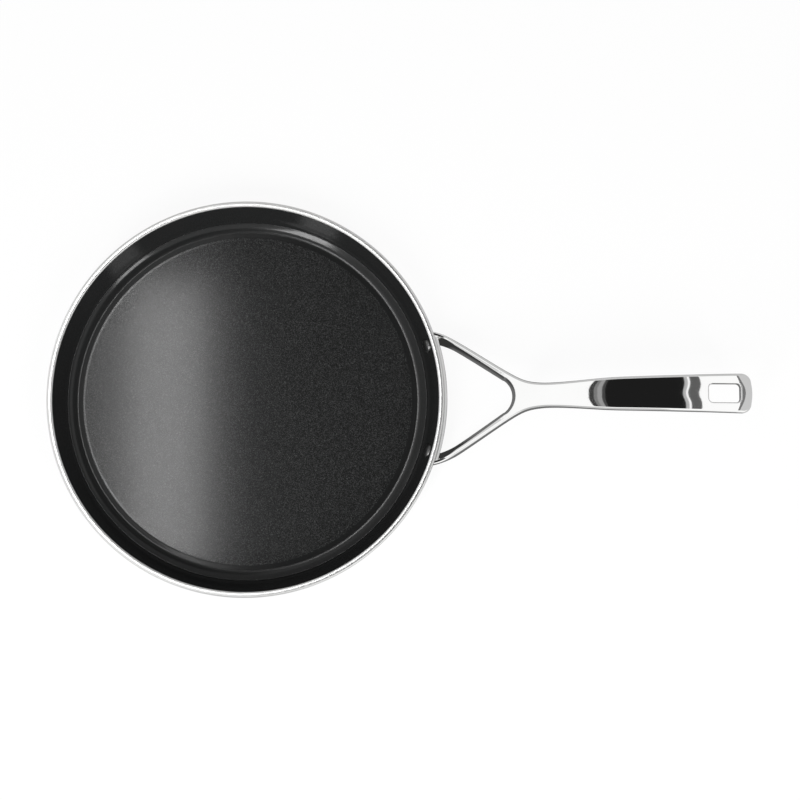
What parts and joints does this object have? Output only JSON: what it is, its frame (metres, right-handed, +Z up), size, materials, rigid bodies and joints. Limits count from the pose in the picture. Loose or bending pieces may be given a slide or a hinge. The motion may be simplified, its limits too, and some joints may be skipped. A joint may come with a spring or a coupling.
{
  "type": "pancake pan",
  "caption": "Shallow round clad pan with a black non-stick lining, a bare rolled rim and a forked cast steel handle riveted to its wall, with a hanging slot.",
  "frame": {"origin": "centre of the pan's base, on the surface it stands on", "axes": "+X along the handle away from the pan, +Z up, +Y to the left of someone who looks along the handle from the pan"},
  "size_m": [0.4935, 0.28, 0.0534],
  "materials": {
    "polished_outer_steel": "turned to a satin, with a bright rolled rim",
    "core_aluminium": "hidden between the steel plies",
    "inner_steel": "blasted, hidden under the lining",
    "nonstick_coating": "satin black, finely pebbled on the floor",
    "polished_cast_steel": "mirror polished",
    "coated_rivet_steel": "steel under the same black coating as the lining"
  },
  "bodies": {
    "root": {"outer_steel_ply": "polished_outer_steel", "aluminium_core": "core_aluminium", "inner_steel_ply": "inner_steel", "nonstick_lining": "nonstick_coating", "handle": "polished_cast_steel", "rivet_left": "coated_rivet_steel", "rivet_right": "coated_rivet_steel"}
  },
  "joints": []
}
